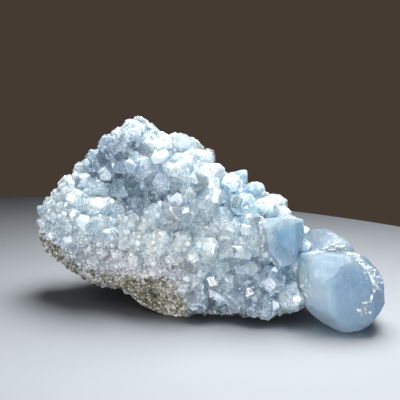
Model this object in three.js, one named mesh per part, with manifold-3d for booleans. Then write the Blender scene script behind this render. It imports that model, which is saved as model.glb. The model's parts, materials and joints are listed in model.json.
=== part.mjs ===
// A celestite geode cluster: a chunk of geode wall, rock rind behind and below, a thick crust of
// blocky pale blue crystals on the front and top, and two large clear blue crystals at its right end.
// Millimetres, +Z up. The front, where the crystals are, looks along -Y, and the length runs along X.
// The rock's flat spot and the end crystal's foot rest on Z = 0, and the origin is on the ground under
// the middle of the part's box.

import * as THREE from "three";
import { ConvexGeometry } from "three/addons/geometries/ConvexGeometry.js";
import { mergeVertices } from "three/addons/utils/BufferGeometryUtils.js";
import Module from "manifold-3d";

const wasm = await Module();
wasm.setup();

// ---- Driving dimensions ----

const LENGTH = 119; // rock and crust, from the left tip to the right end behind the end crystal
const HEIGHT = 83; // of the same, with the part of the rock that the flat spot cuts away
const FRONT_DEPTH = 22; // how far the crust swells forward of the rim
const BACK_DEPTH = 27; // how far the rock swells back behind the rim, at its foot
const GAP = 0.3; // between neighbouring solids
const CRYSTAL_WIDTH = 9; // a typical crystal of the crust, across its prism
const CRYSTAL_PITCH = 7.3; // between typical crystals

// The shapes are laid out about a point of their own, and this is where it lies in the part's frame.
const LAYOUT = [2.4, 6.9, 0];

// Where the form sits: its left tip and the lowest point of its outline.
const LEFT_X = -75;
const FOOT_Z = -8;
const MIDDLE_X = LEFT_X + 0.5 * LENGTH;
const MIDDLE_Z = FOOT_Z + 0.45 * HEIGHT;

// ---- Small helpers ----

const clamp01 = (t) => Math.min(1, Math.max(0, t));
const smooth = (t) => clamp01(t) ** 2 * (3 - 2 * clamp01(t));
const mix = (a, b, t) => a + (b - a) * t;

// Seeded numbers from 0 to 1, so that every build grows the same crystals.
function seeded(seed) {
  let state = seed;
  return () => {
    state = (state + 0x6d2b79f5) | 0;
    let t = Math.imul(state ^ (state >>> 15), 1 | state);
    t = (t + Math.imul(t ^ (t >>> 7), 61 | t)) ^ t;
    return ((t ^ (t >>> 14)) >>> 0) / 4294967296;
  };
}

function toSolid(geometry) {
  const bare = geometry.clone();
  bare.deleteAttribute("normal");
  bare.deleteAttribute("uv");
  const merged = mergeVertices(bare, 1e-4);
  return new wasm.Manifold(
    new wasm.Mesh({
      numProp: 3,
      vertProperties: merged.attributes.position.array,
      triVerts: new Uint32Array(merged.index.array),
    }),
  );
}

function toGeometry(solid) {
  const mesh = solid.getMesh();
  const positions = new Float32Array(mesh.numVert * 3);
  for (let i = 0; i < mesh.numVert; i++) {
    positions.set(mesh.vertProperties.subarray(i * mesh.numProp, i * mesh.numProp + 3), i * 3);
  }
  const geometry = new THREE.BufferGeometry();
  geometry.setAttribute("position", new THREE.BufferAttribute(positions, 3));
  geometry.setIndex(new THREE.BufferAttribute(mesh.triVerts, 1));
  return geometry;
}

// ---- The form of the whole chunk ----

// The outline seen from the front, anticlockwise from the right end, as shares of LENGTH and HEIGHT.
const OUTLINE = [
  [0.99, 0.36],
  [0.94, 0.49],
  [0.87, 0.61],
  [0.78, 0.665],
  [0.69, 0.74],
  [0.62, 0.815],
  [0.52, 0.895],
  [0.42, 0.965],
  [0.365, 0.995],
  [0.33, 0.965],
  [0.24, 0.855],
  [0.145, 0.73],
  [0.09, 0.645],
  [0.03, 0.54],
  [0.01, 0.46],
  [0.02, 0.38],
  [0.06, 0.32],
  [0.16, 0.24],
  [0.28, 0.155],
  [0.375, 0.08],
  [0.46, 0.03],
  [0.56, 0.0],
  [0.78, 0.0],
  [0.925, 0.05],
  [0.99, 0.17],
].map(([x, z]) => [LEFT_X + x * LENGTH - MIDDLE_X, FOOT_Z + z * HEIGHT - MIDDLE_Z]);
const OUTLINE_POLAR = OUTLINE.map(([x, z]) => ({ angle: Math.atan2(z, x), reach: Math.hypot(x, z) })).sort(
  (a, b) => a.angle - b.angle,
);

function outlineReach(angle) {
  const count = OUTLINE_POLAR.length;
  let next = OUTLINE_POLAR.findIndex((p) => p.angle >= angle);
  if (next < 0) next = 0;
  const a = OUTLINE_POLAR[(next + count - 1) % count];
  const b = OUTLINE_POLAR[next];
  const turn = 2 * Math.PI;
  const span = (b.angle - a.angle + turn) % turn;
  const share = ((angle - a.angle + turn) % turn) / span;
  return mix(a.reach, b.reach, share);
}

// Swellings and hollows of the crust's front: place, radius and height, positive towards the viewer.
const LOBES = [
  { x: -15, z: 65, radius: 12, height: 7 }, // the overhanging lobe along the top
  { x: -3, z: 58, radius: 10, height: 6 },
  { x: -31, z: 68, radius: 9, height: 3 },
  { x: -54, z: 38, radius: 12, height: 6 }, // left lobe
  { x: -45, z: 40, radius: 9, height: 4 },
  { x: -23, z: 33, radius: 10, height: 6 }, // middle lobe
  { x: -13, z: 45, radius: 8, height: 5 }, // small lobe above it
  { x: -7, z: 25, radius: 9, height: 4 },
  { x: 17, z: 43, radius: 10, height: 3 }, // right lobe
  { x: 24, z: 14, radius: 11, height: 4 }, // bottom right lobe
  { x: -47, z: 54, radius: 8, height: -6 }, // the recess below the top lobe
  { x: -34, z: 51, radius: 9, height: -9 },
  { x: -22, z: 49, radius: 7, height: -7 },
  { x: -8, z: 38, radius: 6, height: -5 },
  { x: 4, z: 41, radius: 7, height: -4 },
  { x: 13, z: 24, radius: 8, height: -5 },
  { x: 29, z: 23, radius: 7, height: -5 }, // the hollow under the middle crystal
];

const LEAN = 0.2; // the rim's top leans back by this share of its height
const TURN = -0.18; // the right end comes forward by this share of its distance

const rimY = (x, z) => LEAN * (z - 0.25 * HEIGHT) + TURN * (x - MIDDLE_X);

// Lumps of the rock, a few long waves that don't repeat over the part.
function lump(x, y, z) {
  return (
    1.0 * Math.sin(0.21 * x + 0.13 * z + 1.3) * Math.cos(0.17 * y - 0.19 * z) +
    0.8 * Math.sin(0.33 * z - 0.29 * y + 0.4) * Math.cos(0.31 * x + 2.1) +
    0.5 * Math.sin(0.55 * x - 0.47 * y + 0.51 * z)
  );
}

// A direction from the middle becomes a point on the form's surface.
function formPoint(direction) {
  const flat = Math.hypot(direction.x, direction.z);
  const facing = Math.abs(direction.y);
  const angle = Math.atan2(direction.z, direction.x);
  const reach = outlineReach(angle) * flat;
  const x = MIDDLE_X + reach * Math.cos(angle);
  const z = MIDDLE_Z + reach * Math.sin(angle);
  const lumpy = lump(x, 40 * direction.y, z);
  if (direction.y < 0) {
    const relief = LOBES.reduce(
      (sum, lobe) => sum + lobe.height * Math.exp(-((x - lobe.x) ** 2 + (z - lobe.z) ** 2) / lobe.radius ** 2),
      0,
    );
    const heft = mix(1.1, 0.7, clamp01(z / HEIGHT)); // the crust thins towards the top
    const depth = FRONT_DEPTH * heft * facing ** 0.55 + relief * smooth(facing * 2.2) + 0.6 * lumpy * facing;
    return new THREE.Vector3(x, rimY(x, z) - depth, z);
  }
  const depth = 1.4 * BACK_DEPTH * facing ** 0.5 + lumpy * smooth(facing * 2); // the back is cut later
  return new THREE.Vector3(x, rimY(x, z) + depth, z);
}

function formSolid() {
  const AROUND = 36;
  const ACROSS = 16;
  const geometry = new THREE.SphereGeometry(1, AROUND, ACROSS);
  const position = geometry.getAttribute("position");
  const direction = new THREE.Vector3();
  for (let i = 0; i < position.count; i++) {
    direction.fromBufferAttribute(position, i).normalize();
    // A sphere's own seam and poles hold tiny errors, which would open the surface there.
    direction.set(...[direction.x, direction.y, direction.z].map((v) => Math.round(v * 1e5) / 1e5));
    const point = formPoint(direction);
    position.setXYZ(i, point.x, point.y, point.z);
  }
  return toSolid(geometry);
}

// ---- Where the crust ends and the rock begins ----

// The rock shows in front below this line, which drops from the left tip to the flat spot.
const ROCK_LINE = [
  [-75, 25],
  [-66, 19],
  [-54, 12],
  [-46, 9],
  [-34, 11],
  [-20, 13],
  [-12, 11],
  [-7, 0],
  [60, -20],
];

function rockLineZ(x) {
  const next = Math.max(
    1,
    ROCK_LINE.findIndex(([px]) => px >= x),
  );
  const [ax, az] = ROCK_LINE[next - 1];
  const [bx, bz] = ROCK_LINE[next];
  return mix(az, bz, (x - ax) / (bx - ax));
}

// The crust lies in front of this surface: a few millimetres behind the rim, and in front of all
// the form below the rock line.
function crustBackY(x, z) {
  const above = smooth((z - rockLineZ(x)) / 7);
  const behind = rimY(x, z) + 5 - 7 * smooth((24 - z) / 24);
  return mix(-2.2 * FRONT_DEPTH, behind, above);
}

// Flat breaks across the back of the rock: a point that each passes through, and its normal.
const BREAKS = [
  { at: [-52, 24, 22], normal: [-0.62, 0.7, -0.3] },
  { at: [-30, 29, 55], normal: [-0.3, 0.85, 0.42] },
  { at: [6, 22, 44], normal: [0.35, 0.75, 0.6] },
  { at: [30, 15, 8], normal: [0.6, 0.8, -0.05] },
  { at: [-20, 28, 4], normal: [-0.05, 0.75, -0.65] },
];

// The rock's back: a lumpy swell, flattened where it broke.
function rockBackY(x, z) {
  const heft = mix(1, 0.6, clamp01(z / HEIGHT)); // the rock thins towards the top
  const swell = rimY(x, z) + BACK_DEPTH * heft;
  const breaks = BREAKS.map(({ at, normal: [nx, ny, nz] }) => at[1] - (nx * (x - at[0]) + nz * (z - at[2])) / ny);
  return Math.max(rimY(x, z) + 8, Math.min(swell, ...breaks)) + 1.3 * lump(x, 0.7 * z, z);
}

// All that lies in front of a surface that a function of x and z gives, meshed in columns and rows.
function regionBefore(surfaceY, columns, rows) {
  const WIDE = 190;
  const TALL = 130;
  const DEEP = 300;
  const geometry = new THREE.BoxGeometry(WIDE, DEEP, TALL, columns, 1, rows);
  const position = geometry.getAttribute("position");
  for (let i = 0; i < position.count; i++) {
    const x = position.getX(i) + MIDDLE_X;
    const z = position.getZ(i) + MIDDLE_Z;
    position.setXYZ(i, x, position.getY(i) > 0 ? surfaceY(x, z) : -DEEP, z);
  }
  return toSolid(geometry);
}

// ---- Crystals ----

// Celestite's faces, from its cell of 8.36 x 5.35 x 6.87 angstrom: the normal of (h k l).
const CELL = [8.36, 5.35, 6.87];
const faceNormal = (h, k, l) => new THREE.Vector3(h / CELL[0], k / CELL[1], l / CELL[2]).normalize();

function form(h, k, l) {
  const faces = [];
  for (const sh of h ? [1, -1] : [1]) {
    for (const sk of k ? [1, -1] : [1]) {
      for (const sl of l ? [1, -1] : [1]) faces.push(faceNormal(h * sh, k * sk, l * sl));
    }
  }
  return faces;
}

// The faces of a crust crystal. reach is a face's distance from the centre as a share of half the
// crystal's width.
const FACES = [
  { faces: form(0, 0, 1), reach: 0.9 },
  { faces: form(0, 1, 1), reach: 1.0 },
  { faces: form(1, 0, 1), reach: 1.06 },
  { faces: form(2, 1, 0), reach: 1.0 },
];
const FACE_JITTER = 0.16; // how much a face's distance varies from crystal to crystal

// The corners of the convex solid that these planes leave, each { normal, distance }. Corners closer
// than MERGE are made one.
const MERGE = 0.65;

function cornersOf(planes) {
  const corners = [];
  const matrix = new THREE.Matrix3();
  const point = new THREE.Vector3();
  for (let i = 0; i < planes.length; i++) {
    for (let j = i + 1; j < planes.length; j++) {
      for (let k = j + 1; k < planes.length; k++) {
        const [a, b, c] = [planes[i], planes[j], planes[k]];
        matrix.set(...a.normal.toArray(), ...b.normal.toArray(), ...c.normal.toArray());
        if (Math.abs(matrix.determinant()) < 1e-3) continue;
        point.set(a.distance, b.distance, c.distance).applyMatrix3(matrix.invert());
        if (planes.some((p) => p.normal.dot(point) > p.distance + 1e-4)) continue;
        if (!corners.some((p) => p.distanceTo(point) < MERGE)) corners.push(point.clone());
      }
    }
  }
  return corners;
}

// A crystal of a given width, stretched along +X.
function crystalGeometry(width, stretch, random) {
  const planes = FACES.flatMap(({ faces, reach }) =>
    faces.map((normal) => ({
      normal,
      distance: 0.5 * width * reach * mix(1, stretch, Math.abs(normal.x)) * (1 + FACE_JITTER * (2 * random() - 1)),
    })),
  );
  return new ConvexGeometry(cornersOf(planes));
}

// Turns +X to look along axis, rolled about it.
function crystalTurn(axis, roll) {
  const turn = new THREE.Quaternion().setFromUnitVectors(new THREE.Vector3(1, 0, 0), axis);
  const spin = new THREE.Quaternion().setFromAxisAngle(new THREE.Vector3(1, 0, 0), roll);
  return turn.multiply(spin);
}

// ---- The large crystals ----

// Each is a convex block cut by named faces, at a place, with the distance of each face from it.
function block(place, faces, grow = 0) {
  const planes = faces.map(([x, y, z, distance]) => ({
    normal: new THREE.Vector3(x, y, z).normalize(),
    distance: distance + grow,
  }));
  return toSolid(new ConvexGeometry(cornersOf(planes)).translate(...place));
}

const MIDDLE_CRYSTAL = {
  place: [28.5, -28, 32.5],
  faces: [
    [0.06, -1, 0.1, 6.5], // broad front
    [0.12, 0.5, 1, 9.0], // top, seen edge on
    [-0.1, -0.45, 1, 12.6], // narrow bevel along the top
    [-0.62, -0.25, 1, 10.4], // top left shoulder
    [1, -0.25, -0.13, 7.4], // right side
    [0.75, -0.85, 0.1, 8.2], // right bevel
    [-1, -0.2, -0.1, 6.4], // left side, above
    [-1, -0.3, -0.75, 6.2], // left side, below
    [-0.8, -0.8, -0.2, 9.0], // left bevel
    [0.25, -0.2, -1, 8.4], // foot
    [0, 1, -0.1, 14], // root, in the crust
  ],
};

const END_CRYSTALS = [
  {
    // the largest, which stands on the ground
    place: [53, -31.8, 13.5],
    faces: [
      [0.03, -1, 0.16, 11.8], // broad front
      [0.76, -0.66, 0.2, 14.8], // right of the front
      [1, 0.1, 0.05, 15.4], // right side
      [0.9, -0.3, -0.75, 15.2], // right side, below
      [0.75, -0.3, 0.9, 14.4], // right shoulder
      [0.1, -0.6, 1, 18], // bevel over the front
      [0.05, 0.3, 1, 15.2], // top
      [-0.62, -0.5, 0.85, 15.4], // left shoulder
      [-0.85, -0.75, -0.05, 13.2], // left bevel
      [-1, 0.1, 0.05, 14.4], // left side
      [-0.75, -0.6, -0.8, 13.0], // left side, below
      [0.05, -0.8, -0.75, 15.2], // bevel under the front
      [-0.7, 0.2, -0.7, 14.6], // left of the foot
      [0, 0, -1, 13.5], // foot
      [0, 1, 0.1, 15.8], // back
      [0.75, 0.7, 0.3, 15.8], // right of the back
      [0.1, 0.8, 0.8, 16.7], // bevel over the back
      [0.6, 0.6, -0.7, 16.2], // bevel under the back
    ],
  },
  {
    // the rounded one behind its top
    place: [50, -17, 23.5],
    faces: [
      [0, -1, 0.3, 10], // front
      [0.8, -0.5, 0.5, 9.6], // right shoulder
      [1, 0.3, 0.3, 9.4], // right side
      [0.5, 0.1, 1, 9.2], // top right
      [-0.15, -0.2, 1, 8.8], // top
      [-0.8, -0.3, 0.8, 9.6], // left shoulder
      [-1, -0.3, 0.1, 9.2], // left side
      [-0.4, 0.6, -1, 9], // foot, inside the others
      [0.4, 0.6, -1, 9], // foot, inside the others
      [0, 1, 0, 9], // back
    ],
  },
  {
    // the one between them and the middle crystal
    place: [40.5, -26, 18],
    faces: [
      [-0.1, -1, 0.35, 8.6], // front
      [-0.25, -0.6, 1, 9.0], // top bevel
      [-1, -0.7, 0.35, 6.0], // left front
      [-1, 0, -0.3, 5.0], // left side
      [-0.6, -0.8, -0.9, 8.6], // left foot
      [1, 0, 0, 10], // right, inside the others
      [0, 0, -1, 9], // foot
      [0.1, 0.3, 1, 9.6], // top
      [-0.2, 1, 0, 10], // back, in the crust
    ],
  },
];

const largeMiddle = (grow) => block(MIDDLE_CRYSTAL.place, MIDDLE_CRYSTAL.faces, grow);
const largeEnd = (grow) =>
  wasm.Manifold.union(END_CRYSTALS.map(({ place, faces }) => block(place, faces, grow)));
const endSolid = () => mainBody(largeEnd(0).subtract(largeMiddle(GAP)));

// ---- The crust ----

// How large the crystals are at a place, as a share of the typical one. The crust is finer towards
// its left end, its lower left and its broken rim at the upper left.
function sizeAt(point, direction) {
  const left = smooth((-36 - point.x) / 22);
  const bottomLeft = smooth((30 - point.z) / 14) * smooth((-2 - point.x) / 12);
  const rim = smooth((0.45 + direction.y) / 0.3) * smooth((-24 - point.x) / 12);
  return mix(mix(mix(1.12, 0.72, left), 0.62, bottomLeft), 0.56, rim);
}

function surfaceNormal(direction) {
  const STEP = 0.02;
  const side = new THREE.Vector3(0, 1, 0).cross(direction);
  if (side.length() < 0.05) side.set(1, 0, 0);
  side.normalize();
  const up = direction.clone().cross(side).normalize();
  const at = (v, amount) => formPoint(direction.clone().addScaledVector(v, amount).normalize());
  const alongSide = at(side, STEP).sub(at(side, -STEP));
  const alongUp = at(up, STEP).sub(at(up, -STEP));
  return alongSide.cross(alongUp).normalize();
}

// Above the rock line, the crust's foot is massive and bears no crystals over this height.
const bareBand = (x) => mix(11, 4, smooth((x + 22) / 14));

// Even but irregular places over the crust's surface: each try keeps clear of the ones taken.
function crystalSites(random) {
  const TRIES = 9000;
  const GOLDEN = Math.PI * (3 - Math.sqrt(5));
  const sites = [];
  for (let n = 0; n < TRIES; n++) {
    const i = (n * 3571) % TRIES;
    const y = 1 - (2 * (i + 0.5)) / TRIES;
    const ring = Math.sqrt(1 - y * y);
    const direction = new THREE.Vector3(ring * Math.cos(i * GOLDEN), y, ring * Math.sin(i * GOLDEN));
    const point = formPoint(direction);
    if (point.y > crustBackY(point.x, point.z) - 1.5 || point.z < 5) continue;
    if (point.z < rockLineZ(point.x) + bareBand(point.x)) continue;
    const size = sizeAt(point, direction) * mix(0.72, 1.25, random());
    const clear = 0.5 * CRYSTAL_PITCH;
    if (sites.some((s) => s.point.distanceTo(point) < clear * (s.size + size))) continue;
    sites.push({ point, direction, size });
  }
  return sites;
}

function crustCrystal({ point, direction, size }, random) {
  const SPREAD = 0.7; // how far a crystal's axis strays from the surface's normal
  const normal = surfaceNormal(direction);
  const stray = new THREE.Vector3(random() - 0.5, random() - 0.5, random() - 0.5).multiplyScalar(2 * SPREAD);
  const axis = normal.clone().add(stray).normalize();
  const width = CRYSTAL_WIDTH * size;
  const centre = point.clone().addScaledVector(normal, -width * mix(0.05, 0.3, random()));
  const geometry = crystalGeometry(width, mix(1.0, 1.25, random()), random)
    .applyQuaternion(crystalTurn(axis, 2 * Math.PI * random()))
    .translate(centre.x, centre.y, centre.z);
  return toSolid(geometry);
}

// ---- The pieces ----

function rockMatrix() {
  const beforeRock = regionBefore((x, z) => crustBackY(x, z) + GAP / 2, 16, 12);
  const rock = formSolid()
    .intersect(regionBefore(rockBackY, 28, 18))
    .subtract(beforeRock)
    .subtract(largeEnd(GAP))
    .trimByPlane([0, 0, 1], 0);
  return mainBody(rock);
}

// The largest of the bodies that a solid falls into.
function mainBody(solid) {
  return solid.decompose().reduce((a, b) => (a.volume() > b.volume() ? a : b));
}

function crystalCrust() {
  const CLEARANCE = 3.5; // the crust's lower edge stays this far above the ground
  const random = seeded(11);
  const crystals = crystalSites(random).map((site) => crustCrystal(site, random));
  const crust = wasm.Manifold.union([formSolid(), ...crystals])
    .intersect(regionBefore((x, z) => crustBackY(x, z) - GAP / 2, 16, 12))
    .subtract(largeMiddle(GAP))
    .subtract(largeEnd(GAP))
    .trimByPlane([0, 0, 1], CLEARANCE);
  return mainBody(crust);
}

function piece(name, solid, material) {
  const mesh = new THREE.Mesh(toGeometry(solid), material);
  mesh.name = name;
  return mesh;
}

const rock = new THREE.MeshStandardMaterial({ color: 0x8a8574, roughness: 0.95, metalness: 0 });
const crust = new THREE.MeshStandardMaterial({ color: 0xc4d6e2, roughness: 0.25, metalness: 0 });
const blue = new THREE.MeshStandardMaterial({ color: 0x86abc8, roughness: 0.15, metalness: 0 });

const geode = new THREE.Group();
geode.add(piece("rock_matrix", rockMatrix(), rock));
geode.add(piece("crystal_crust", crystalCrust(), crust));
geode.add(piece("large_crystal_middle", largeMiddle(0), blue));
geode.add(piece("large_crystal_end", endSolid(), blue));

geode.position.set(...LAYOUT);

export default geode;
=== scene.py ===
# A celestite geode cluster, dressed for rendering: crystals, rock and large clear crystals built round
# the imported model. Lengths in the tables are millimetres, and MM turns them into Blender's metres.

import itertools
import json
import math

import bmesh
import bpy
import numpy as np
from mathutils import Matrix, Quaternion, Vector, noise
from mathutils.bvhtree import BVHTree
from mathutils.kdtree import KDTree

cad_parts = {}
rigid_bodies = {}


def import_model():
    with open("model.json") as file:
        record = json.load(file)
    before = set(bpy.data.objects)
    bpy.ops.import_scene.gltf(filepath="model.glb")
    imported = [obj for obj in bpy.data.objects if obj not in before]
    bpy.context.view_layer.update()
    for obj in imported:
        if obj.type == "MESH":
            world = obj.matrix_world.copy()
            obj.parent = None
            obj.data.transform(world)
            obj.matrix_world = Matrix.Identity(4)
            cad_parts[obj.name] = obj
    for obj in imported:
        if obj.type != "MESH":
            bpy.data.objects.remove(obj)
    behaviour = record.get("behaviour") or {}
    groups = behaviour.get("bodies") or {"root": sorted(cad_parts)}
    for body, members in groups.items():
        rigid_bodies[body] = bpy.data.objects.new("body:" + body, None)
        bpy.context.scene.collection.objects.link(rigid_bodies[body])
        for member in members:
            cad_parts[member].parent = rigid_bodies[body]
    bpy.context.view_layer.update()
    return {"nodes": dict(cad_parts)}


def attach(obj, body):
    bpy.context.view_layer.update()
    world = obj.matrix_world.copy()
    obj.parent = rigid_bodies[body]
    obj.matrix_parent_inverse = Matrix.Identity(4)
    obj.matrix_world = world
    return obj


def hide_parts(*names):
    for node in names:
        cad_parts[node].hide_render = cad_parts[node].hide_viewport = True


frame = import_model()
NODES = frame["nodes"]

MM = 0.001
LAYOUT = np.array([2.4, 6.9, 0.0])  # tables of places are laid out about this point of the part's frame


# ---- Camera, floor and light ----

AIM = Vector((-0.6, 6.9, 43.5)) * MM
DISTANCE = 330 * MM
ELEVATION = math.radians(13)


def look_at(obj, target):
    obj.rotation_euler = (target - obj.location).to_track_quat("-Z", "Y").to_euler()


def add(obj):
    bpy.context.scene.collection.objects.link(obj)
    return obj


camera = add(bpy.data.objects.new("camera", bpy.data.cameras.new("camera")))
camera.data.lens = 70
camera.data.sensor_width = 36
camera.data.clip_start = 0.01
camera.location = AIM + DISTANCE * Vector((0, -math.cos(ELEVATION), math.sin(ELEVATION)))
look_at(camera, AIM)
bpy.context.scene.camera = camera
bpy.context.scene.view_settings.view_transform = "Standard"


def area_light(name, place, wide, high, power, colour, target=(0, 0, 30), spread=180):
    """An oval soft box of this size in millimetres, power in watts and spread in degrees."""
    light = bpy.data.lights.new(name, "AREA")
    light.shape = "ELLIPSE"
    light.size = wide * MM
    light.size_y = high * MM
    light.energy = power
    light.color = colour
    light.spread = math.radians(spread)
    obj = add(bpy.data.objects.new(name, light))
    obj.location = Vector(place) * MM
    look_at(obj, Vector(target) * MM)
    return obj


# A round soft box overhead, aimed at the floor in front, and two low wide ones: in front and at the left.
KEY_COLOUR = (0.96, 0.99, 1.0)
FILL_COLOUR = (0.94, 0.98, 1.0)
area_light("key", (60, 45, 320), 320, 320, 1.58, KEY_COLOUR, target=(25, -125, 0), spread=100)
area_light("front", (30, -800, 60), 640, 100, 6.5, FILL_COLOUR)
area_light("left", (-700, -370, 60), 430, 100, 2.6, FILL_COLOUR)


# ---- Shader helpers ----


class Shader:
    """A material's node tree, with short names for what the materials here need."""

    def __init__(self, name):
        self.material = bpy.data.materials.new(name)
        self.material.use_nodes = True
        self.tree = self.material.node_tree
        self.surface = self.tree.nodes["Principled BSDF"]
        self.place = self.tree.nodes.new("ShaderNodeTexCoord").outputs["Object"]

    def node(self, kind, **settings):
        made = self.tree.nodes.new("ShaderNode" + kind)
        for key, value in settings.items():
            setattr(made, key, value)
        return made

    def link(self, out, into):
        self.tree.links.new(out, into)

    def put(self, socket, value):
        if isinstance(value, bpy.types.NodeSocket):
            self.link(value, socket)
        elif value is not None:
            socket.default_value = value

    def noise(self, size, detail=3.0, rough=0.55, distort=0.0, upright=1.0):
        """Noise whose lumps are size millimetres wide, and upright times as tall."""
        made = self.node("TexNoise")
        squeeze = self.node("VectorMath", operation="MULTIPLY")
        self.link(self.place, squeeze.inputs[0])
        squeeze.inputs[1].default_value = (1, 1, 1 / upright)
        self.link(squeeze.outputs["Vector"], made.inputs["Vector"])
        made.inputs["Scale"].default_value = 1 / (size * MM)
        made.inputs["Detail"].default_value = detail
        made.inputs["Roughness"].default_value = rough
        made.inputs["Distortion"].default_value = distort
        return made.outputs["Fac"]

    def span(self, value, low, high, to_low=0.0, to_high=1.0):
        """A value stretched from low..high to to_low..to_high, and held there beyond them."""
        made = self.node("MapRange")
        self.put(made.inputs["Value"], value)
        for key, number in (("From Min", low), ("From Max", high), ("To Min", to_low), ("To Max", to_high)):
            made.inputs[key].default_value = number
        return made.outputs["Result"]

    def math(self, operation, a, b=None):
        made = self.node("Math", operation=operation)
        self.put(made.inputs[0], a)
        self.put(made.inputs[1], b)
        return made.outputs[0]

    def mix(self, share, a, b, blend="MIX"):
        made = self.node("Mix", data_type="RGBA", blend_type=blend)
        self.put(made.inputs["Factor"], share)
        self.put(made.inputs["A"], a if isinstance(a, bpy.types.NodeSocket) else (*a, 1))
        self.put(made.inputs["B"], b if isinstance(b, bpy.types.NodeSocket) else (*b, 1))
        return made.outputs["Result"]

    def tint(self):
        """The colour that the mesh holds at each face."""
        return self.node("Attribute", attribute_name="tint").outputs["Color"]

    def rim(self, reach):
        """1 at a sharp outward edge, 0 further than reach millimetres from one."""
        made = self.node("AmbientOcclusion", samples=6, inside=True, only_local=True)
        made.inputs["Distance"].default_value = reach * MM
        return self.span(made.outputs["AO"], 0.95, 0.6)

    def hollow(self, reach):
        """1 in a deep crease, 0 where the surface is open for reach millimetres around."""
        made = self.node("AmbientOcclusion", samples=6, only_local=True)
        made.inputs["Distance"].default_value = reach * MM
        return self.span(made.outputs["AO"], 0.75, 0.25)

    def bump(self, height, distance, strength=1.0, soften=0.0):
        """Unevenness of a height in millimetres; soften rounds the look of edges to that radius."""
        made = self.node("Bump")
        if soften:
            rounded = self.node("Bevel", samples=4)
            rounded.inputs["Radius"].default_value = soften * MM
            self.link(rounded.outputs["Normal"], made.inputs["Normal"])
        self.link(height, made.inputs["Height"])
        made.inputs["Distance"].default_value = distance * MM
        made.inputs["Strength"].default_value = strength
        self.link(made.outputs["Normal"], self.surface.inputs["Normal"])

    def set(self, **values):
        for key, value in values.items():
            self.put(self.surface.inputs[key.replace("_", " ")], value)


def rgb(red, green, blue):
    """A colour given as 0 to 255 display values, in linear light."""
    shares = (red / 255, green / 255, blue / 255)
    return tuple(v / 12.92 if v <= 0.04045 else ((v + 0.055) / 1.055) ** 2.4 for v in shares)


# ---- Floor and surroundings ----

FLOOR_CENTRE = (-106, -151)
FLOOR_RADIUS = 355
FLOOR_SIDES = 128
FLOOR_COLOUR = rgb(140, 142, 146)
# Painted shadow: the floor's colour is darkened towards this where something stands close over it.
PAINTED_SHADOW_COLOUR = rgb(60, 60, 62)  # where something stands close over the floor
PAINTED_SHADOW_REACH = 20


def make_floor():
    mesh = bpy.data.meshes.new("floor")
    ring = [
        (
            (FLOOR_CENTRE[0] + FLOOR_RADIUS * math.cos(2 * math.pi * i / FLOOR_SIDES)) * MM,
            (FLOOR_CENTRE[1] + FLOOR_RADIUS * math.sin(2 * math.pi * i / FLOOR_SIDES)) * MM,
            0.0,
        )
        for i in range(FLOOR_SIDES)
    ]
    mesh.from_pydata(ring, [], [range(FLOOR_SIDES)])
    floor = add(bpy.data.objects.new("floor", mesh))
    shader = Shader("floor")
    # Painted shadow: ambient occlusion darkens the floor's colour under and beside the object.
    close = shader.node("AmbientOcclusion", samples=8)
    close.inputs["Distance"].default_value = PAINTED_SHADOW_REACH * MM
    openness = shader.span(close.outputs["AO"], 0.1, 0.6)
    colour = shader.mix(openness, PAINTED_SHADOW_COLOUR, FLOOR_COLOUR)
    shader.set(Base_Color=colour, Roughness=0.9, Specular_IOR_Level=0.2)
    mesh.materials.append(shader.material)
    return floor


make_floor()


def make_world():
    """A dim grey sky, which the camera sees as a plain brown backdrop."""
    world = bpy.data.worlds.new("studio")
    bpy.context.scene.world = world
    world.use_nodes = True
    nodes, links = world.node_tree.nodes, world.node_tree.links
    sky = nodes["Background"]
    sky.inputs["Color"].default_value = (*rgb(196, 204, 214), 1)
    sky.inputs["Strength"].default_value = 0.04
    backdrop = nodes.new("ShaderNodeBackground")
    backdrop.inputs["Color"].default_value = (*rgb(69, 59, 51), 1)
    seen = nodes.new("ShaderNodeLightPath")
    both = nodes.new("ShaderNodeMixShader")
    links.new(seen.outputs["Is Camera Ray"], both.inputs["Fac"])
    links.new(sky.outputs[0], both.inputs[1])
    links.new(backdrop.outputs[0], both.inputs[2])
    links.new(both.outputs[0], nodes["World Output"].inputs["Surface"])


make_world()


# ---- Crystals as closed convex meshes ----

CELL = np.array([8.36, 5.35, 6.87])  # celestite's cell, in angstrom


def face_form(h, k, l, reach):
    """All the faces of a crystal form (hkl), each reach half-widths from the centre."""
    signs = itertools.product(*((1, -1) if index else (1,) for index in (h, k, l)))
    normals = [np.array([h * a, k * b, l * c]) / CELL for a, b, c in signs]
    return [(n / np.linalg.norm(n), reach) for n in normals]


HABITS = {
    "blocky": face_form(0, 0, 1, 0.9)
    + face_form(0, 1, 1, 1.0)
    + face_form(1, 0, 1, 1.06)
    + face_form(2, 1, 0, 1.0),
    "grain": face_form(0, 0, 1, 0.95)
    + face_form(1, 1, 1, 1.0)
    + face_form(1, 0, 0, 1.0)
    + face_form(0, 1, 0, 1.0),
}


PARALLEL = 1e-3  # three planes whose determinant is under this meet in no corner
SLACK = 1e-6
MERGE = 0.05  # corners closer than this become one


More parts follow.
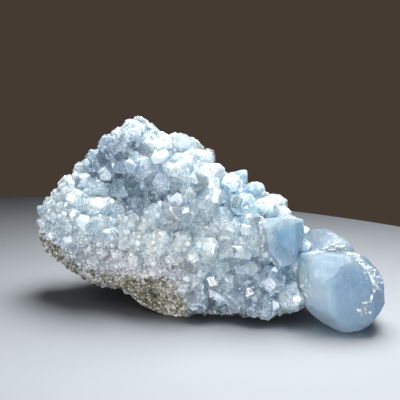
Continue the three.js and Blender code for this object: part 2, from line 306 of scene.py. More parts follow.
def convex(planes):
    """Corners and outward-wound faces of the solid that planes (normal, distance) leave."""
    normals = np.array([n for n, _ in planes])
    reach = np.array([d for _, d in planes])
    count = len(planes)
    corners, owners = [], []
    for i in range(count):
        for j in range(i + 1, count):
            for k in range(j + 1, count):
                three = normals[[i, j, k]]
                if abs(np.linalg.det(three)) < PARALLEL:
                    continue
                p = np.linalg.solve(three, reach[[i, j, k]])
                if (normals @ p > reach + SLACK).any():
                    continue
                near = [c for c, q in enumerate(corners) if np.linalg.norm(q - p) < MERGE]
                if near:
                    owners[near[0]] |= {i, j, k}
                else:
                    corners.append(p)
                    owners.append({i, j, k})
    faces = []
    for i in range(count):
        members = [c for c, own in enumerate(owners) if i in own]
        if len(members) < 3:
            continue
        middle = np.mean([corners[c] for c in members], axis=0)
        side = np.cross(normals[i], [0.31, 0.52, 0.8])  # any direction across the face
        side /= np.linalg.norm(side)
        up = np.cross(normals[i], side)
        members.sort(key=lambda c: math.atan2((corners[c] - middle) @ up, (corners[c] - middle) @ side))
        faces.append(members)
    return np.array(corners), faces


def templates(habit, count, jitter, stretch, rng):
    """A few crystals of half-width 1 of a habit, stretched along X, to be copied, turned and scaled."""
    made = []
    while len(made) < count:
        longer = rng.uniform(*stretch)
        planes = [
            (n, d * (1 + (longer - 1) * abs(n[0])) * (1 + jitter * rng.uniform(-1, 1)))
            for n, d in HABITS[habit]
        ]
        corners, faces = convex(planes)
        used = sum(len(f) for f in faces)
        # A closed convex solid has as many corners as Euler's rule says.
        if len(corners) - used // 2 + len(faces) == 2 and used % 2 == 0:
            made.append((corners, faces))
    return made


def rotations(axes, rolls):
    """Matrices that turn +X to each axis, after a roll about it."""
    out = np.empty((len(axes), 3, 3))
    for i, (axis, roll) in enumerate(zip(axes, rolls)):
        turn = Vector((1, 0, 0)).rotation_difference(Vector(axis)) @ Quaternion((1, 0, 0), roll)
        out[i] = np.array(turn.to_matrix())
    return out


class Cluster:
    """Many small closed solids in one mesh, each with a tint and a material slot."""

    def __init__(self):
        self.corners, self.loops, self.starts = [], [], []
        self.sizes, self.tints, self.slots = [], [], []
        self.count = 0
        self.loop_count = 0

    def put(self, template, place, turn, scale, tint, slot):
        corners, faces = template
        self.corners.append(corners * scale @ turn.T + place)
        for face in faces:
            self.loops.extend(c + self.count for c in face)
            self.starts.append(self.loop_count)
            self.sizes.append(len(face))
            self.slots.append(slot)
            self.loop_count += len(face)
        self.tints.append(np.repeat([[*tint, 1.0]], sum(len(face) for face in faces), axis=0))
        self.count += len(corners)

    def build(self, name, *materials):
        mesh = bpy.data.meshes.new(name)
        mesh.vertices.add(self.count)
        mesh.vertices.foreach_set("co", (np.concatenate(self.corners) * MM).astype(np.float32).ravel())
        mesh.loops.add(self.loop_count)
        mesh.loops.foreach_set("vertex_index", np.array(self.loops, np.int32))
        mesh.polygons.add(len(self.sizes))
        mesh.polygons.foreach_set("loop_start", np.array(self.starts, np.int32))
        mesh.polygons.foreach_set("loop_total", np.array(self.sizes, np.int32))
        mesh.polygons.foreach_set("use_smooth", np.zeros(len(self.sizes), bool))
        mesh.update(calc_edges=True)
        mesh.validate()
        tint = mesh.attributes.new("tint", "FLOAT_COLOR", "CORNER")
        tint.data.foreach_set("color", np.concatenate(self.tints).astype(np.float32).ravel())
        for material in materials:
            mesh.materials.append(material)
        mesh.polygons.foreach_set("material_index", np.array(self.slots, np.int32))
        return add(bpy.data.objects.new(name, mesh))


# ---- Where crystals grow: places on the CAD solids, and what grows there ----

# Zones of the front: centre x and z, radius, and what the crystals there are like. tint is their
# colour in display values, with painted shade and painted highlight in some zones, as marked, width
# the size of the fine crystals, and cover how densely they stand.
ZONES = [
    # x, z, radius, tint, width, cover
    (-20, 66, 15, (234, 247, 255), 4.0, 0.45),  # upper lobe, frosted white
    (-2, 58, 12, (234, 247, 255), 4.2, 0.45),
    (-32, 72, 8, (206, 224, 238), 1.9, 0.9),  # the peak
    # The recess: darker grey-blue for its clearer crystals, and darker still as painted shade.
    (-36, 54, 12, (152, 178, 200), 3.4, 0.3),  # recess, clear and grey
    (-20, 50, 8, (170, 194, 214), 3.0, 0.4),
    (-54, 40, 12, (230, 245, 255), 2.3, 0.9),  # left lobe
    (-64, 28, 9, (204, 217, 231), 1.7, 1.0),
    (-69, 18, 5, (148, 149, 166), 1.4, 1.0),  # dusky at the left tip
    (-54, 22, 5, (142, 149, 162), 1.5, 1.0),
    (-45, 42, 9, (230, 245, 255), 2.4, 0.8),
    (-24, 33, 10, (246, 253, 255), 2.6, 1.8),  # middle lobe
    (-13, 45, 6, (178, 180, 187), 1.8, 0.9),  # small pinkish lobe
    (-3, 44, 8, (228, 243, 255), 2.1, 0.8),
    (-46, 20, 10, (212, 207, 206), 1.4, 1.1),  # massive band, pinkish white
    (-26, 20, 9, (221, 213, 208), 1.5, 1.1),
    (-12, 16, 8, (216, 214, 217), 1.8, 1.0),
    (12, 48, 11, (200, 230, 253), 2.8, 0.6),  # right, clear pale blue
    # Painted highlight: the ridge's two zones are tinted whiter than its white crystals, where light falls
    # along the top edge.
    (12, 62, 8, (252, 250, 252), 2.4, 0.9),  # its ridge, white
    (26, 56, 7, (250, 250, 252), 2.4, 0.9),
    (22, 34, 10, (230, 247, 255), 2.9, 0.7),
    (3, 33, 10, (243, 252, 255), 2.6, 1.1),
    (16, 14, 13, (178, 193, 207), 3.2, 0.5),  # lower right, blocky grey-blue
    (29, 23, 8, (160, 193, 218), 2.9, 0.5),  # the hollow under the middle crystal
    (34, 12, 8, (230, 241, 248), 3.1, 0.6),
    # Painted shade: the foot's two zones are tinted dark grey-blue where the crystals stand in shade.
    (-4, 3, 6, (132, 144, 162), 2.6, 0.4),  # the dark foot
    (14, 3, 6, (150, 163, 178), 3.0, 0.4),
]


def zone_values(zones, points):
    """Tint, and whatever else a table of zones gives, at points in millimetres in the part's frame."""
    places = np.array([z[:2] for z in zones], float)
    radii = np.array([z[2] for z in zones], float)
    at = points - LAYOUT
    apart = ((at[:, None, [0, 2]] - places[None]) ** 2).sum(2)
    weight = np.exp(-apart / (0.6 * radii**2)) + 1e-9
    weight /= weight.sum(1, keepdims=True)
    tints = np.array([rgb(*z[3]) for z in zones])
    return [weight @ tints] + [weight @ np.array(column) for column in list(zip(*zones))[4:]]


def triangles(obj):
    mesh = obj.data
    mesh.calc_loop_triangles()
    corners = np.empty(len(mesh.vertices) * 3, np.float32)
    mesh.vertices.foreach_get("co", corners)
    index = np.empty(len(mesh.loop_triangles) * 3, np.int32)
    mesh.loop_triangles.foreach_get("vertices", index)
    return corners.reshape(-1, 3)[index].reshape(-1, 3, 3).astype(float) / MM


def scatter(obj, count, rng):
    """Even random places on a mesh, in millimetres, with the normals of its facets."""
    tri = triangles(obj)
    cross = np.cross(tri[:, 1] - tri[:, 0], tri[:, 2] - tri[:, 0])
    area = np.linalg.norm(cross, axis=1)
    pick = rng.choice(len(tri), count, p=area / area.sum())
    a, b = rng.random((2, count))
    flip = a + b > 1
    a[flip], b[flip] = 1 - a[flip], 1 - b[flip]
    t = tri[pick]
    points = t[:, 0] + a[:, None] * (t[:, 1] - t[:, 0]) + b[:, None] * (t[:, 2] - t[:, 0])
    return points, cross[pick] / area[pick][:, None]


def bvh(obj):
    mesh = obj.data
    return BVHTree.FromPolygons([v.co for v in mesh.vertices], [p.vertices for p in mesh.polygons])


def clearance(points, trees):
    """How far each point lies from the nearest of some meshes, in millimetres."""
    return np.array([min(tree.find_nearest(Vector(p) * MM)[3] for tree in trees) for p in points]) / MM


class Grid:
    """Accepted places, looked up by neighbourhood."""

    def __init__(self, cell):
        self.cell = cell
        self.cells = {}

    def near(self, p):
        key = tuple((p // self.cell).astype(int))
        for i in (-1, 0, 1):
            for j in (-1, 0, 1):
                for k in (-1, 0, 1):
                    yield from self.cells.get((key[0] + i, key[1] + j, key[2] + k), ())

    def put(self, p, value):
        self.cells.setdefault(tuple((p // self.cell).astype(int)), []).append((p, value))


def thin_out(points, radius, cell):
    """The places left when each keeps clear of the ones before it by their two radii."""
    grid = Grid(cell)
    kept = []
    for i, (p, r) in enumerate(zip(points, radius)):
        if all(np.linalg.norm(p - q) > r + s for q, s in grid.near(p)):
            grid.put(p, r)
            kept.append(i)
    return np.array(kept)


def smoothed(points, normals, at, reach):
    """The average of the normals of the points within reach of each place."""
    tree = KDTree(len(points))
    for i, p in enumerate(points):
        tree.insert(p, i)
    tree.balance()
    out = np.empty((len(at), 3))
    for i, p in enumerate(at):
        out[i] = normals[[j for _, j, _ in tree.find_range(p, reach)]].sum(0)
    return out / np.maximum(np.linalg.norm(out, axis=1, keepdims=True), 1e-9)


# ---- Pieces ----

WELD = 1e-7  # corners closer than this, in metres, are one
SPECK = 20  # a loose island with fewer corners is no crystal


def own_mesh(name, node):
    """A copy of a CAD node's mesh that a piece of this name stands for."""
    mesh = bpy.data.meshes.new(name)
    welded = bmesh.new()
    welded.from_mesh(NODES[node].data)
    bmesh.ops.remove_doubles(welded, verts=welded.verts, dist=WELD)
    welded.to_mesh(mesh)
    welded.free()
    mesh.polygons.foreach_set("use_smooth", np.zeros(len(mesh.polygons), bool))
    obj = add(bpy.data.objects.new(name, mesh))
    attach(obj, "root")
    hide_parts(node)
    return obj


def paint(mesh, colours):
    """Gives each face its colour, in linear light."""
    count = [len(p.vertices) for p in mesh.polygons]
    colours = np.hstack([np.broadcast_to(colours, (len(count), 3)), np.ones((len(count), 1))])
    tint = mesh.attributes.new("tint", "FLOAT_COLOR", "CORNER")
    tint.data.foreach_set("color", np.repeat(colours, count, axis=0).astype(np.float32).ravel())


def corners_of(mesh):
    """A mesh's corners, in millimetres."""
    corners = np.empty(len(mesh.vertices) * 3, np.float32)
    mesh.vertices.foreach_get("co", corners)
    return corners.reshape(-1, 3).astype(float) / MM


def move_corners(mesh, corners):
    mesh.vertices.foreach_set("co", (corners * MM).astype(np.float32).ravel())
    mesh.update()


def face_centres(mesh):
    centres = np.empty(len(mesh.polygons) * 3, np.float32)
    mesh.polygons.foreach_get("center", centres)
    return centres.reshape(-1, 3).astype(float) / MM


def clean(mesh, least):
    """Welds doubled corners, deletes islands of fewer corners than least, and makes all faces triangles."""
    work = bmesh.new()
    work.from_mesh(mesh)
    bmesh.ops.remove_doubles(work, verts=work.verts, dist=2 * WELD)
    bmesh.ops.dissolve_degenerate(work, edges=work.edges, dist=2 * WELD)
    seen = set()
    specks = []
    for start in work.verts:
        if start in seen:
            continue
        seen.add(start)
        island = [start]
        for vert in island:
            for edge in vert.link_edges:
                other = edge.other_vert(vert)
                if other not in seen:
                    seen.add(other)
                    island.append(other)
        if len(island) < least:
            specks += island
    bmesh.ops.delete(work, geom=specks, context="VERTS")
    bmesh.ops.triangulate(work, faces=work.faces)
    work.to_mesh(mesh)
    work.free()


def united(obj, solids):
    """Joins closed solids to a piece, so that all of them are one mass."""
    helpers = bpy.data.collections.new("helpers")
    bpy.context.scene.collection.children.link(helpers)
    for (corners, faces), place, turn, half, tint, slot in solids:
        mesh = bpy.data.meshes.new("helper")
        mesh.from_pydata(((corners * half @ turn.T + place) * MM).tolist(), [], faces)
        mesh.polygons.foreach_set("material_index", [slot] * len(faces))
        paint(mesh, tint)
        helpers.objects.link(bpy.data.objects.new("helper", mesh))
    joined = obj.modifiers.new("joined", "BOOLEAN")
    joined.operation = "UNION"
    joined.solver = "MANIFOLD"
    joined.operand_type = "COLLECTION"
    joined.collection = helpers
    mesh = bpy.data.meshes.new_from_object(obj.evaluated_get(bpy.context.evaluated_depsgraph_get()))
    obj.modifiers.clear()
    mesh.name = obj.name
    obj.data = mesh
    used = list(helpers.objects)
    meshes = [helper.data for helper in used]
    bpy.data.batch_remove(used)
    bpy.data.batch_remove(meshes)
    bpy.data.collections.remove(helpers)
    clean(mesh, SPECK)
    mesh.polygons.foreach_set("use_smooth", np.zeros(len(mesh.polygons), bool))


def remeshed(obj, voxel):
    """Gives a piece an even fine mesh of the same shape."""
    made = obj.modifiers.new("even", "REMESH")
    made.mode = "VOXEL"
    made.voxel_size = voxel * MM
    mesh = bpy.data.meshes.new_from_object(obj.evaluated_get(bpy.context.evaluated_depsgraph_get()))
    obj.modifiers.clear()
    mesh.name = obj.name
    obj.data = mesh


def roughen(obj, octaves, foot=0):
    """Moves every vertex along its normal by noise, octaves of (size, height) in mm, less below foot."""
    mesh = obj.data
    corners = corners_of(mesh)
    normals = np.empty(len(corners) * 3, np.float32)
    mesh.vertices.foreach_get("normal", normals)
    height = np.zeros(len(corners))
    for size, amount in octaves:
        height += amount * np.array([noise.noise(Vector(c) / size) for c in corners])
    if foot:
        height *= np.clip(corners[:, 2] / foot, 0, 1)
    corners += normals.reshape(-1, 3) * height[:, None]
    corners[:, 2] = np.maximum(corners[:, 2], 0)
    move_corners(mesh, corners)


# Left of its foot the underside is hollow: x, and how far it is lifted there.
HOLLOW = np.array(
    [(-52, 0), (-45, 1.4), (-40.6, 3.9), (-36.2, 6.2), (-31.9, 4.6), (-27.5, 2.2), (-23.2, 1.2), (-17, 0)]
)
HOLLOW_TOP = 22


def hollowed(obj):
    """Lifts the low parts of a piece over the hollow, less the higher they lie."""
    corners = corners_of(obj.data)
    lift = np.interp(corners[:, 0] - LAYOUT[0], HOLLOW[:, 0], HOLLOW[:, 1])
    corners[:, 2] += lift * np.clip(1 - corners[:, 2] / HOLLOW_TOP, 0, 1)
    move_corners(obj.data, corners)


TUCK = 5.5
TUCK_TOP = 6


def tucked(obj):
    """Draws the low front of the rock's foot back under the crystals that hang over it."""
    corners = corners_of(obj.data)
    at = corners - LAYOUT
    right = np.clip((at[:, 0] + 8) / 4, 0, 1)
    front = np.clip((-16 - at[:, 1]) / 6, 0, 1)
    corners[:, 1] += TUCK * right * front * np.clip(1 - at[:, 2] / TUCK_TOP, 0, 1)
    move_corners(obj.data, corners)


# ---- Materials ----


def crystal_material(name, see_through, rough, frost, whiten, deep=8):
    """Celestite whose light comes partly through it, under a glossy face.

    frost is how much fine white there is on its faces, whiten how white its outward edges are made, and deep
    how far light strays inside it, in millimetres. Its creases are darkened as painted shade.
    """
    shader = Shader(name)
    tint = shader.tint()
    mottle = shader.span(shader.noise(2.4, 4, 0.6), 0.38, 0.62)
    body = shader.mix(mottle, shader.mix(1.0, tint, (0.72, 0.8, 0.87), "MULTIPLY"), tint)
    # Painted shade: the creases between crystals are darkened.
    body = shader.mix(shader.hollow(2.5), body, shader.mix(1.0, body, (0.78, 0.84, 0.88), "MULTIPLY"))
    grain = shader.span(shader.noise(0.55, 5, 0.8), 0.42, 0.6)
    cloud = shader.span(shader.noise(4.5, 3, 0.6, 0.8), 0.4, 0.65, 0.35, 1.0)
    veil = shader.math("MULTIPLY", shader.math("MULTIPLY", grain, cloud), frost)
    # Outward edges are made whiter, in patches.
    rim = shader.rim(1.2)
    edge_white = shader.span(shader.noise(1.3, 3, 0.6), 0.4, 0.65, 0.1, whiten)
    light = shader.math("MAXIMUM", shader.math("MULTIPLY", rim, edge_white), veil)
    glass = shader.math("MULTIPLY", shader.math("SUBTRACT", 1.0, light), see_through)
    shader.set(
        Base_Color=shader.mix(light, body, (0.86, 0.92, 0.96)),
        Roughness=rough,
        IOR=1.62,
        Transmission_Weight=glass,
        Coat_Weight=0.2,
        Coat_Roughness=0.2,
        Coat_IOR=1.5,
        Subsurface_Weight=1.0,
        Subsurface_Radius=(1.0, 1.0, 1.0),
        Subsurface_Scale=deep * MM,
    )
    shader.bump(shader.noise(0.6, 4, 0.65), 0.15, 0.6, soften=0.15)
    return shader.material


def rock_material():
    """Marl: olive and grey patches with pale grains and dark pores, each face multiplied by its tint."""
    shader = Shader("marl_rind")
    grain = shader.noise(0.9, 5, 0.75)
    pores = shader.noise(2.6, 5, 0.7)
    patch = shader.noise(8, 4, 0.65)
    colour = shader.mix(shader.span(patch, 0.4, 0.62), rgb(84, 80, 60), rgb(148, 145, 136))
    colour = shader.mix(shader.span(grain, 0.52, 0.66), colour, rgb(226, 221, 210))
    colour = shader.mix(shader.span(pores, 0.49, 0.38), colour, rgb(40, 37, 27))
    colour = shader.mix(shader.span(grain, 0.45, 0.34), colour, rgb(40, 37, 30))
    colour = shader.mix(1.0, colour, shader.tint(), "MULTIPLY")
    shader.set(Base_Color=colour, Roughness=0.95)
    shader.bump(shader.math("ADD", grain, pores), 0.6, 0.8)
    return shader.material


def large_material():
    """Milky clear celestite: frosted see-through faces over a clouded body."""
    shader = Shader("celestite_clear")
    tint = shader.tint()
    cloud = shader.span(shader.noise(9, 5, 0.65), 0.38, 0.62)
    colour = shader.mix(cloud, shader.mix(1.0, tint, (0.8, 0.87, 0.9), "MULTIPLY"), tint)
    veil = shader.span(shader.noise(4.5, 6, 0.72, 1.5), 0.54, 0.72)
    colour = shader.mix(shader.math("MULTIPLY", veil, 0.45), colour, rgb(226, 236, 242))
    wide_edge = shader.math("MULTIPLY", shader.rim(3.0), 0.15)
    sharp_edge = shader.math("MULTIPLY", shader.rim(1.0), 0.5)
    edge = shader.math("MAXIMUM", wide_edge, sharp_edge)
    specks = shader.span(shader.noise(0.9, 5, 0.7), 0.5, 0.7, 0.0, 0.42)
    streaks = shader.span(shader.noise(0.8, 4, 0.65, upright=4.0), 0.48, 0.66, 0.0, 0.26)
    white = shader.math("MAXIMUM", edge, shader.math("MAXIMUM", specks, streaks))
    shader.set(
        Base_Color=shader.mix(white, colour, rgb(236, 243, 247)),
        Roughness=0.35,
        IOR=1.45,
        Transmission_Weight=shader.math("MULTIPLY", shader.math("SUBTRACT", 1.0, white), 0.85),
        Subsurface_Weight=1.0,
        Subsurface_Radius=(0.9, 1.0, 1.1),
        Subsurface_Scale=12 * MM,
    )
    absorb = shader.node("VolumeAbsorption")
    absorb.inputs["Color"].default_value = (0.42, 0.68, 0.88, 1)
    absorb.inputs["Density"].default_value = 24
    shader.link(absorb.outputs[0], shader.tree.nodes["Material Output"].inputs["Volume"])
    shader.bump(shader.noise(0.9, 6, 0.8), 0.4, 1.0)
    return shader.material


frosted = crystal_material("celestite_frosted", 0.72, 0.22, 0.7, 0.9)
glassy = crystal_material("celestite_glassy", 0.9, 0.1, 0.2, 0.7)
snowy = crystal_material("celestite_snowy", 0.5, 0.3, 0.6, 0.9)
milky = crystal_material("celestite_milky", 0.6, 0.25, 0.15, 0.6)
sugary = crystal_material("celestite_sugar", 0.4, 0.4, 0.5, 0.6, deep=0.8)
small = crystal_material("celestite_small", 0.6, 0.22, 0.45, 0.8, deep=1.5)
marl = rock_material()
clear_blue = large_material()

# The crust's material slots.
CRUST_MATERIALS = (frosted, glassy, marl, snowy, milky)
FROSTED, GLASSY, MARL, SNOWY, MILKY = range(5)


# ---- Where the crust has what ----

# The front edge of the rock, where brown grains end: x and z.
ROCK_EDGE = np.array(
    [(-75, 14), (-70, 15.5), (-65.8, 20), (-61.6, 21.5), (-57.6, 20), (-53.4, 17.5), (-49.2, 14.5)]
    + [(-44.9, 11.5), (-40, 9.5), (-37, 10), (-31, 12.5), (-24, 16.5), (-17, 16.5), (-13, 14.5)]
    + [(-10.5, 11), (-9, 7), (-7, 0), (60, -30)],
    float,
)
# The massive band above that edge: x, and how high it is.
BAND_HEIGHT = np.array([(-70, 5), (-50, 11), (-22, 11), (-8, 4)], float)
BAND_END = -4  # the band lies left of this


def above_rock(points):
    """How far above the rock's front edge each place lies, in mm."""
    at = points - LAYOUT
    return at[:, 2] - np.interp(at[:, 0], ROCK_EDGE[:, 0], ROCK_EDGE[:, 1])


def bleached(points):
    """The rock's shade at each place: paler low down and under the crust, duller at its left tip."""
    at = points - LAYOUT
    low = np.clip((9 - at[:, 2]) / 7, 0, 1) * np.clip((at[:, 0] + 45) / 12, 0, 1)
    tip = np.clip((-28 - at[:, 0]) / 18, 0, 1)
    edge = np.clip((above_rock(points) + 3.5) / 3.5, 0, 1)
    pale = (0.45 * low + 0.4 * edge)[:, None] * np.array([1.0, 1.03, 1.12])
    return 1.04 + pale + tip[:, None] * np.array([-0.14, -0.12, 0.0])


SEED = 23
rng = np.random.default_rng(SEED)
BLOCKY = templates("blocky", 36, 0.2, (0.95, 1.35), rng)
GRAINS = templates("grain", 24, 0.25, (0.9, 1.3), rng)
CRUST_PLACES = 30000
ROCK_PLACES = 14000
LEAST_ROOM = 0.6  # between a place on the crust and the other solids
SEAM = (0.35, 2.0)  # how far from the rock the join's grains lie

crust_node = NODES["crystal_crust"]
others = [bvh(NODES[n]) for n in ("rock_matrix", "large_crystal_middle", "large_crystal_end")]
points, normals = scatter(crust_node, CRUST_PLACES, rng)
room = clearance(points, others)
from_rock = clearance(points, others[:1])
seam = (from_rock > SEAM[0]) & (from_rock < SEAM[1]) & (from_rock <= room + SLACK)
seam_points, seam_normals = points[seam], normals[seam]
free = room > LEAST_ROOM
points, normals, room = points[free], normals[free], room[free]
tint, width, cover = zone_values(ZONES, points)

# 0 where the crust faces forwards, 1 where it turns away on the left: the druse is finer there.
FRINGE_WIDTH = 1.0
facing = -smoothed(points[::8], normals[::8], points, reach=7.0)[:, 1]
fringe = np.clip((0.62 - facing) / 0.3, 0, 1) * np.clip((-5 - points[:, 0] + LAYOUT[0]) / 15, 0, 1)
width += fringe * (FRINGE_WIDTH - width)

ragged = np.array([2.2 * noise.noise(Vector(p) * 0.35) + 1.2 * noise.noise(Vector(p) * 0.9) for p in points])
over_rock = above_rock(points) + ragged
band_top = np.interp(points[:, 0] - LAYOUT[0], BAND_HEIGHT[:, 0], BAND_HEIGHT[:, 1])
in_rock = over_rock < 0
in_band = (over_rock >= 0) & (over_rock < band_top) & (points[:, 0] < LAYOUT[0] + BAND_END)
in_druse = ~in_rock & ~in_band


# ---- The crust ----

BRIGHTEST = 1.6  # the most that a shade may multiply a colour by
# Painted glint: a facet painted near white, as if it caught the light.
PAINTED_GLINT = 0.93  # the shade of a facet that catches the light
CORNER_REACH = 1.3  # a solid's furthest corner, in half widths
FLOOR_GAP = 0.5
BACKED_END = 38  # right of this the backdrop would show through a glassy crystal


def chosen(points, size, wanted, spread, rng):
    """Places for one generation: each is wanted with its own chance and keeps clear of the others."""
    order = np.nonzero(rng.random(len(points)) < wanted)[0]
    return order[thin_out(points[order], 0.5 * spread * size[order], cell=7.0)]


def turned(up, stray, rng):
    """Turns that stand each crystal's long axis about its place's up direction."""
    axes = up + rng.normal(0, stray, up.shape)
    axes /= np.linalg.norm(axes, axis=1, keepdims=True)
    return rotations(axes, rng.uniform(0, 2 * math.pi, len(up)))


def off_floor(centre, half):
    return centre[2] - CORNER_REACH * half > FLOOR_GAP


def look(clearness, cover, rng):
    """Which of the crust's materials a crystal has."""
    if rng.random() < clearness:
        return GLASSY
    if rng.random() < 0.5 * cover - 0.1:
        return SNOWY
    return MILKY if rng.random() < 1.1 - cover else FROSTED


def facet_shades(shade, count, rng):
    """A shade for each of a crystal's facets, with now and then a painted glint: a facet painted near white
    as if it caught the light.
    """
    shades = shade * rng.normal(1, 0.09, (count, 1))
    shades[rng.random(count) < 0.02] = PAINTED_GLINT
    return np.clip(shades, 0, BRIGHTEST)


def generation(kinds, size, wanted, spread, sink, clearness, tints, contrast, rng):
    """One generation of solids over the crust's places, each sunk by a share of its half width."""
    kept = chosen(points, size, wanted * (room > 0.3 * size), spread, rng)
    up = smoothed(points, normals, points[kept], reach=3.0)
    turns = turned(up, stray=0.5, rng=rng)
    solids = []
    for i, n in enumerate(kept):
        half = 0.5 * size[n]
        centre = points[n] - up[i] * half * (rng.uniform(*sink) + 0.3 * fringe[n])
        kind = kinds[rng.integers(len(kinds))]
        shade = facet_shades(tints[n] * rng.uniform(*contrast), len(kind[1]), rng)
        if off_floor(centre, half):
            slot = MARL if in_rock[n] else look(clearness[n], cover[n], rng)
            if slot == GLASSY and points[n, 0] > LAYOUT[0] + BACKED_END:
                slot = SNOWY
            solids.append((kind, centre, turns[i], half, shade, slot))
    return solids


chance = rng.random(len(points))
none = np.zeros(len(points))
few = np.full(len(points), 0.12)
clearness = np.clip(0.9 - cover, 0.04, 0.5)
medium_size = width * (1.5 + 1.3 * chance)
fine_size = width * (0.6 + 0.5 * chance)
fine_cover = in_druse * np.maximum(0.3 * cover**2, 0.5 * fringe)
lump_size = 2.4 + 2.4 * chance
grain_size = 1.0 + 0.9 * chance
crumb_size = 1.0 + 2.2 * chance**2
druse_shades = (0.85, 1.1)
rock_tint = bleached(points)

solids = generation(BLOCKY, medium_size, in_druse * 0.8, 1.0, (0.7, 1.02), clearness, tint, druse_shades, rng)
solids += generation(BLOCKY, fine_size, fine_cover, 1.3, (0.5, 0.9), clearness, tint, druse_shades, rng)
solids += generation(GRAINS, lump_size, in_band * 0.4, 1.1, (0.75, 1.05), few, tint, (0.8, 1.12), rng)
solids += generation(GRAINS, grain_size, in_band * 0.8, 1.0, (0.3, 0.7), none, tint, (0.75, 1.15), rng)
solids += generation(GRAINS, crumb_size, in_rock * 1.0, 0.75, (0.2, 0.8), none, rock_tint, (0.6, 1.2), rng)

body = own_mesh("crystal_mass", "crystal_crust")
for material in CRUST_MATERIALS:
    body.data.materials.append(material)
face_at = face_centres(body.data)
shades = zone_values(ZONES, face_at)[0] * rng.normal(1, 0.1, (len(face_at), 1))
brown = above_rock(face_at) < 0
shades[brown] = bleached(face_at[brown])
paint(body.data, np.clip(shades, 0, BRIGHTEST))
body.data.polygons.foreach_set("material_index", np.where(brown, MARL, FROSTED).astype(np.int32))
united(body, solids)
hollowed(body)


# ---- The rock ----

GROWN_FROM = -9  # crystals cover the foot right of this
GROWN_FRONT = -8  # and in front of this
CRUST_GAP = 1.5  # how far from the crust the rock's crumbs keep
FLOOR_BAND = 1.2  # and how far above the floor


def grown_over(points):
    """Where crystals cover the rock's foot, right of the bare patch."""
    at = points - LAYOUT
    wave = np.array([2.5 * noise.noise(Vector(p) * 0.3) for p in points])
    return (at[:, 0] + wave > GROWN_FROM) & (at[:, 1] < GROWN_FRONT)


def perched(name, materials, places, up, size, kinds, shade, slot, sink, rng):
    """A joined mesh of small tumbled solids at places, each sunk by a share of its half width."""
    turns = turned(up, stray=1.0, rng=rng)
    cluster = Cluster()
    for i, place in enumerate(places):
        half = 0.5 * size[i]
        centre = place - up[i] * half * rng.uniform(*sink)
        kind = kinds[rng.integers(len(kinds))]
        if off_floor(centre, half):
            cluster.put(kind, centre, turns[i], half, np.clip(shade[i], 0, BRIGHTEST), slot[i])
    made = cluster.build(name, *materials)
    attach(made, "root")
    return made


rock = own_mesh("rock_rind", "rock_matrix")
remeshed(rock, 0.75)
roughen(rock, [(9, 1.2), (3.5, 1.1), (1.4, 0.7)], foot=3)
for material in (marl, frosted):
    rock.data.materials.append(material)
face_at = face_centres(rock.data)
grown = grown_over(face_at)
paint(rock.data, np.where(grown[:, None], zone_values(ZONES, face_at)[0], bleached(face_at)))
rock.data.polygons.foreach_set("material_index", grown.astype(np.int32))
hollowed(rock)
tucked(rock)

rock_points, rock_normals = scatter(NODES["rock_matrix"], ROCK_PLACES, rng)
bare = (clearance(rock_points, [bvh(crust_node)]) > CRUST_GAP) & (rock_points[:, 2] > FLOOR_BAND)
rock_points, rock_normals = rock_points[bare], rock_normals[bare]
grown = grown_over(rock_points)
size = (0.9 + 2.2 * rng.random(len(rock_points)) ** 2) * np.where(grown, 1.4, 1.0)
kept = chosen(rock_points, size, np.where(grown, 0.95, 0.5), 0.95, rng)
places, grown = rock_points[kept], grown[kept]
up = smoothed(rock_points, rock_normals, places, reach=3.0)
brown_shade = rng.uniform(0.55, 1.2, (len(kept), 1)) * bleached(places)
white_shade = zone_values(ZONES, places)[0] * rng.uniform(0.85, 1.05, (len(kept), 1))
shade = np.where(grown[:, None], white_shade, brown_shade)
slots = grown.astype(int)
crumbs = perched(
    "rock_crumbs", (marl, frosted), places, up, size[kept], GRAINS, shade, slots, (0.2, 0.8), rng
)
hollowed(crumbs)
tucked(crumbs)

# Grains of both kinds hide the join of crust and rock.
size = 0.7 + 1.5 * rng.random(len(seam_points)) ** 2
kept = chosen(seam_points, size, np.full(len(seam_points), 0.8), 0.8, rng)
places = seam_points[kept]
pale = rng.random(len(kept)) < 0.6
shade = np.where(pale[:, None], zone_values(ZONES, places)[0], 1.0)
shade *= rng.uniform(0.75, 1.1, (len(kept), 1))
up = smoothed(seam_points, seam_normals, places, reach=2.5)
slots = np.where(pale, 0, 1)
seam_grains = perched(
    "seam_grains", (sugary, marl), places, up, size[kept], GRAINS, shade, slots, (-0.1, 0.5), rng
)
hollowed(seam_grains)


# ---- The large crystals ----

# Zones of the large crystals, as ZONES above: centre x and z, radius and tint. Some tints are painted light,
# as marked.
LARGE_ZONES = [
    (31, 34, 6, (194, 227, 250)),  # middle crystal, its front
    # Painted light: the middle crystal's left bevel is tinted lighter, standing in for light it does not get.
    (22.5, 35, 4, (228, 243, 251)),  # its left bevel
    (29, 25, 4, (198, 228, 248)),
    (30, 43, 3, (220, 240, 250)),
    (54, 19, 6, (164, 193, 214)),  # the largest crystal, the middle of its front
    (54, 11, 6, (172, 199, 219)),
    # Painted light: the largest crystal is tinted whiter to the left, standing in for light coming through
    # it.
    (41, 17, 5.5, (240, 249, 251)),  # whiter to the left
    (43, 10, 4, (230, 243, 249)),
    (45, 25, 4, (204, 223, 235)),
    (52, 3, 4, (220, 236, 246)),
    (50, 29, 4, (200, 218, 231)),
    (65, 17, 4, (174, 194, 227)),  # violet to the right
    (47, 35, 5, (116, 138, 159)),  # the crystal behind
    (54, 34, 4, (222, 229, 233)),
]


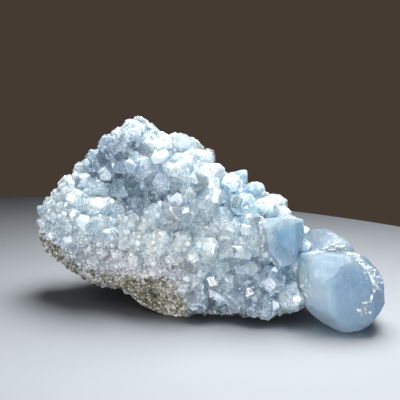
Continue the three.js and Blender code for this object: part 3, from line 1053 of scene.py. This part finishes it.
def softened(obj, voxel, rounds, octaves):
    """Rounds a large crystal's edges off, makes its faces a little uneven and colours it."""
    remeshed(obj, voxel)
    work = bmesh.new()
    work.from_mesh(obj.data)
    for _ in range(rounds):
        bmesh.ops.smooth_vert(
            work, verts=work.verts, factor=0.5, use_axis_x=True, use_axis_y=True, use_axis_z=True
        )
    work.to_mesh(obj.data)
    work.free()
    roughen(obj, octaves)
    obj.data.polygons.foreach_set("use_smooth", np.ones(len(obj.data.polygons), bool))
    obj.data.materials.append(clear_blue)
    paint(obj.data, zone_values(LARGE_ZONES, face_centres(obj.data))[0])


middle = own_mesh("middle_crystal", "large_crystal_middle")
softened(middle, 0.35, 8, [(5, 0.25), (1.5, 0.1)])
end = own_mesh("end_crystals", "large_crystal_end")
softened(end, 0.6, 26, [(7, 0.6), (2.5, 0.2)])

# Runs of grains on the large crystals: from, to, how far they stray, how many, and their sizes.
SUGAR = (0.4, 1.4)
END_RUNS = [
    ((50.4, -23.5, 31.3), (54.6, -24.8, 28.8), 1.3, 50, SUGAR),
    ((54.6, -24.8, 28.8), (58.5, -31.8, 27.7), 1.2, 60, SUGAR),
    ((58.5, -31.8, 27.7), (61.6, -36.5, 23.5), 1.5, 90, SUGAR),
    ((61.6, -36.5, 23.5), (62.5, -40.8, 17.8), 0.8, 45, SUGAR),
    ((62.5, -40.8, 17.8), (59.8, -43.7, 12.4), 0.6, 25, SUGAR),
    ((59.8, -43.7, 12.4), (57.6, -44.3, 9.4), 0.9, 30, SUGAR),
    ((63.0, -33.0, 22.0), (66.0, -36.0, 14.0), 2.0, 40, SUGAR),
    ((50.0, -23.5, 31.8), (51.5, -23.5, 30.5), 1.6, 70, SUGAR),
    ((37.0, -33.1, 18.3), (38.5, -34.2, 11.3), 1.6, 40, SUGAR),
    ((41.0, -26.0, 28.5), (52.0, -26.0, 29.5), 0.8, 60, SUGAR),
]
MIDDLE_BLOCKS = [
    ((20.5, -25.0, 40.0), (25.5, -27.0, 25.0), 1.3, 28, (1.8, 4.2)),
    ((26.0, -27.0, 24.5), (30.0, -28.0, 22.0), 1.2, 12, (1.2, 2.6)),
]
RUN_TINT = np.array([0.86, 0.94, 1.0])


def runs(name, obj, table, kinds, material, shades, sink, rng):
    """Small crystals in runs over a large one."""
    tree = bvh(obj)
    places, up, sizes = [], [], []
    for start, stop, stray, count, (least, most) in table:
        for share in rng.random(count):
            near = np.array(start) * (1 - share) + np.array(stop) * share + rng.normal(0, stray, 3) + LAYOUT
            place, normal = tree.find_nearest(Vector(near) * MM)[:2]
            places.append(np.array(place) / MM)
            up.append(np.array(normal))
            sizes.append(least + (most - least) * rng.random() ** 2)
    shade = rng.uniform(*shades, (len(places), 1)) * RUN_TINT
    slots = np.zeros(len(places), int)
    made = perched(name, (material,), np.array(places), np.array(up), sizes, kinds, shade, slots, sink, rng)


runs("end_sugar", end, END_RUNS, GRAINS, sugary, (0.45, 0.9), (0.2, 0.7), rng)
runs("middle_blocks", middle, MIDDLE_BLOCKS, BLOCKY, small, (0.85, 1.05), (0.3, 0.8), rng)
